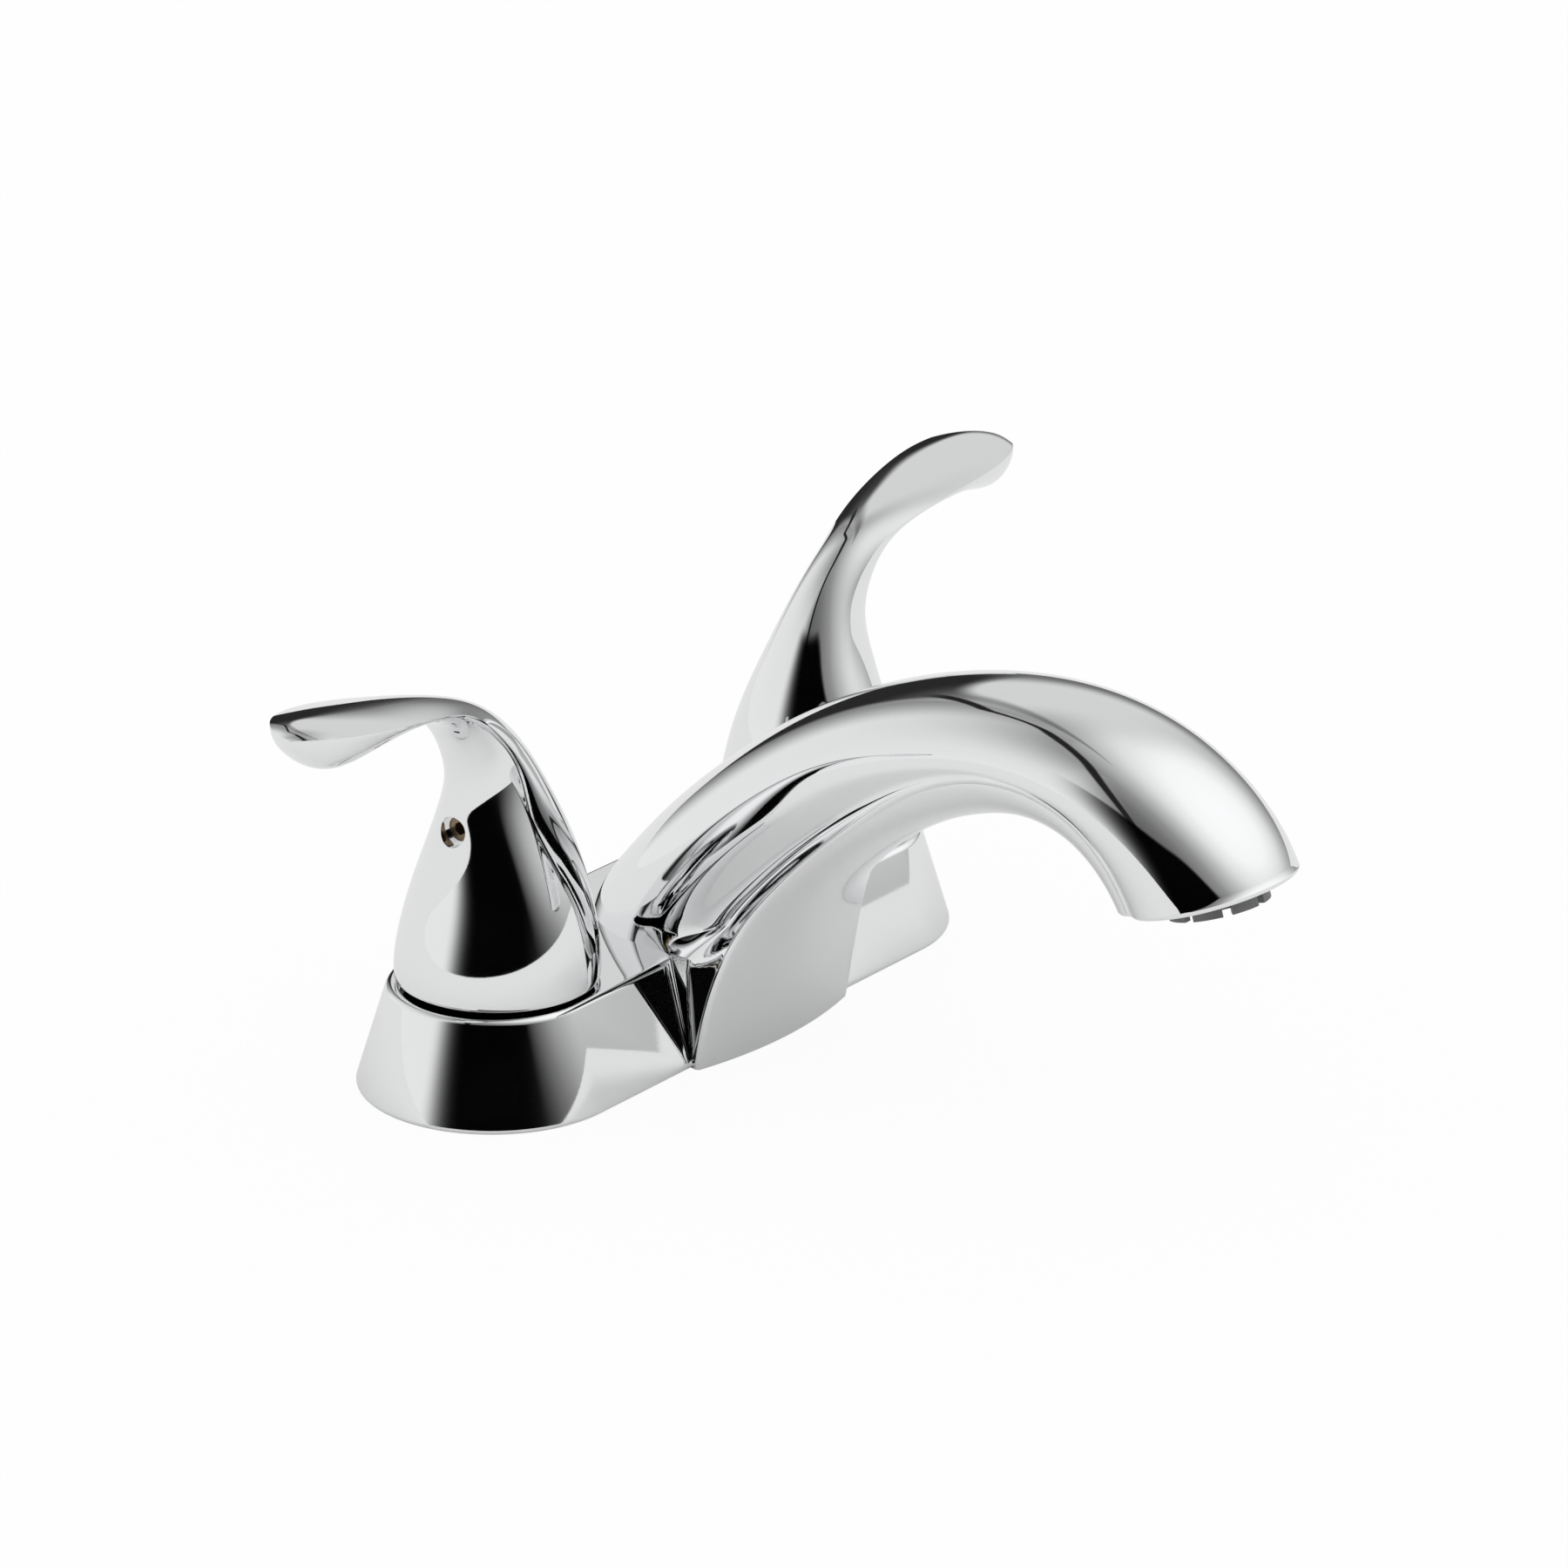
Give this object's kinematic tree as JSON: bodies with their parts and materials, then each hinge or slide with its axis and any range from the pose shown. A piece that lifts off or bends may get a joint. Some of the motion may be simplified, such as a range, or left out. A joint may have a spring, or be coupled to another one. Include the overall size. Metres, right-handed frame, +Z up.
{
  "type": "centerset bathroom faucet",
  "caption": "Chrome centerset basin faucet with an arched spout on a drafted base, lever handles that turn rotary valves, and threaded shanks below the deck.",
  "frame": {"origin": "on the deck plane, midway between the two handle axes", "axes": "+X from the hot handle to the cold handle, -Y towards the user, +Z up from the deck"},
  "size_m": [0.2238, 0.1731, 0.1331],
  "materials": {
    "chrome": "polished chrome plate",
    "brass": "machined brass",
    "steel": "plain stainless steel",
    "rubber": "black rubber",
    "black_plastic": "black moulded plastic",
    "grey_plastic": "dark grey moulded plastic",
    "white_plastic": "white moulded plastic",
    "stem_plastic": "natural acetal"
  },
  "bodies": {
    "body": {"spout_body": "chrome", "deck_plate": "black_plastic", "spout_tee": "brass", "spout_riser": "brass", "aerator_housing": "grey_plastic", "aerator_insert": "white_plastic", "aerator_washer": "rubber", "hot_valve_body": "brass", "hot_seat": "rubber", "hot_seat_spring": "steel", "hot_thrust_washer": "white_plastic", "hot_bonnet_nut": "brass", "hot_supply_tube": "brass", "hot_mounting_nut": "black_plastic", "cold_valve_body": "brass", "cold_seat": "rubber", "cold_seat_spring": "steel", "cold_thrust_washer": "white_plastic", "cold_bonnet_nut": "brass", "cold_supply_tube": "brass", "cold_mounting_nut": "black_plastic"},
    "hot_lever": {"hot_handle": "chrome", "hot_set_screw": "steel", "hot_stem": "stem_plastic", "hot_stem_seal": "rubber"},
    "cold_lever": {"cold_handle": "chrome", "cold_set_screw": "steel", "cold_stem": "stem_plastic", "cold_stem_seal": "rubber"}
  },
  "joints": [
    {"name": "hot_handle_turn", "type": "hinge", "parent": "body", "child": "hot_lever", "pos_m": [-0.0508, 0, 0.03], "axis": [0, 0, 1], "range_deg": [0, 90]},
    {"name": "cold_handle_turn", "type": "hinge", "parent": "body", "child": "cold_lever", "pos_m": [0.0508, 0, 0.03], "axis": [0, 0, 1], "range_deg": [-90, 0]}
  ]
}
